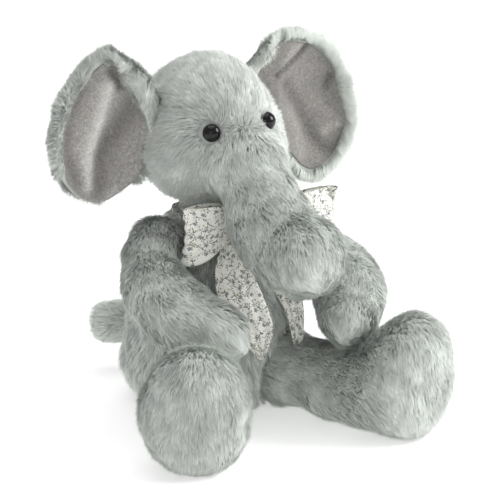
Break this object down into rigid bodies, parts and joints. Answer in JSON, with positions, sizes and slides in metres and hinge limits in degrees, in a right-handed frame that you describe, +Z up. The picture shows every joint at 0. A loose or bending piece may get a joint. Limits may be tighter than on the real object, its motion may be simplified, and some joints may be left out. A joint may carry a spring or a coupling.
{
  "type": "stuffed elephant",
  "caption": "Seated plush elephant with velour-lined ears, bead eyes, stuffed trunk and limbs that swing, and a printed cotton bow at the neck.",
  "frame": {"origin": "centre of the flat seat face under the torso, on the surface the toy sits on", "axes": "+Z up, -Y the way the face looks, +X the animal's left side"},
  "size_m": [0.2504, 0.2825, 0.2732],
  "materials": {
    "plush": "matte",
    "velour": "matte",
    "print_cotton": "matte",
    "eye_black": "gloss",
    "washer": "matte",
    "stuffing": "matte",
    "bag_cloth": "matte"
  },
  "bodies": {
    "torso": {"torso_skin": "plush", "torso_filling": "stuffing", "seat_bag": "bag_cloth", "neck_band": "print_cotton", "bow_knot": "print_cotton", "bow_loop_left": "print_cotton", "bow_loop_right": "print_cotton", "bow_tail_left": "print_cotton", "bow_tail_right": "print_cotton"},
    "head": {"head_skin": "plush", "head_filling": "stuffing", "eye_left": "eye_black", "eye_right": "eye_black", "eye_washer_left": "washer", "eye_washer_right": "washer"},
    "trunk": {"trunk_skin": "plush", "trunk_filling": "stuffing"},
    "ear_left": {"ear_back_left": "plush", "ear_lining_left": "velour"},
    "ear_right": {"ear_back_right": "plush", "ear_lining_right": "velour"},
    "arm_left": {"arm_skin_left": "plush", "arm_filling_left": "stuffing"},
    "arm_right": {"arm_skin_right": "plush", "arm_filling_right": "stuffing"},
    "leg_left": {"leg_skin_left": "plush", "leg_filling_left": "stuffing", "sole_left": "plush"},
    "leg_right": {"leg_skin_right": "plush", "leg_filling_right": "stuffing", "sole_right": "plush"},
    "tail": {"tail_skin": "plush", "tail_filling": "stuffing"}
  },
  "joints": [
    {"name": "head_nod", "type": "hinge", "parent": "torso", "child": "head", "pos_m": [0, 0, 0.158], "axis": [-1, 0, 0], "range_deg": [0, 18], "stiffness_Nm_per_rad": 1},
    {"name": "trunk_lift", "type": "hinge", "parent": "head", "child": "trunk", "pos_m": [0.005, -0.041, 0.1865], "axis": [-1, 0, 0], "range_deg": [0, 14], "stiffness_Nm_per_rad": 0.4},
    {"name": "ear_left_flap", "type": "hinge", "parent": "head", "child": "ear_left", "pos_m": [0.0549, 0.008, 0.2105], "axis": [-0.1043, -0.0073, 0.9945], "range_deg": [-20, 25], "stiffness_Nm_per_rad": 0.05},
    {"name": "ear_right_flap", "type": "hinge", "parent": "head", "child": "ear_right", "pos_m": [-0.0549, 0.008, 0.2105], "axis": [-0.1043, 0.0073, -0.9945], "range_deg": [-20, 25], "stiffness_Nm_per_rad": 0.05},
    {"name": "arm_left_swing", "type": "hinge", "parent": "torso", "child": "arm_left", "pos_m": [0.049, -0.015, 0.124], "axis": [-0.8, 0, 0.6], "range_deg": [0, 35], "stiffness_Nm_per_rad": 0.3},
    {"name": "arm_right_swing", "type": "hinge", "parent": "torso", "child": "arm_right", "pos_m": [-0.049, -0.015, 0.124], "axis": [-0.8, 0, -0.6], "range_deg": [0, 35], "stiffness_Nm_per_rad": 0.3},
    {"name": "leg_left_splay", "type": "hinge", "parent": "torso", "child": "leg_left", "pos_m": [0.036, -0.044, 0.031], "axis": [0, 0, 1], "range_deg": [0, 20]},
    {"name": "leg_right_splay", "type": "hinge", "parent": "torso", "child": "leg_right", "pos_m": [-0.036, -0.044, 0.031], "axis": [0, 0, -1], "range_deg": [0, 20]},
    {"name": "tail_wag", "type": "hinge", "parent": "torso", "child": "tail", "pos_m": [-0.008, 0.057, 0.038], "axis": [0, 0, 1], "range_deg": [-12, 10], "stiffness_Nm_per_rad": 0.05}
  ]
}
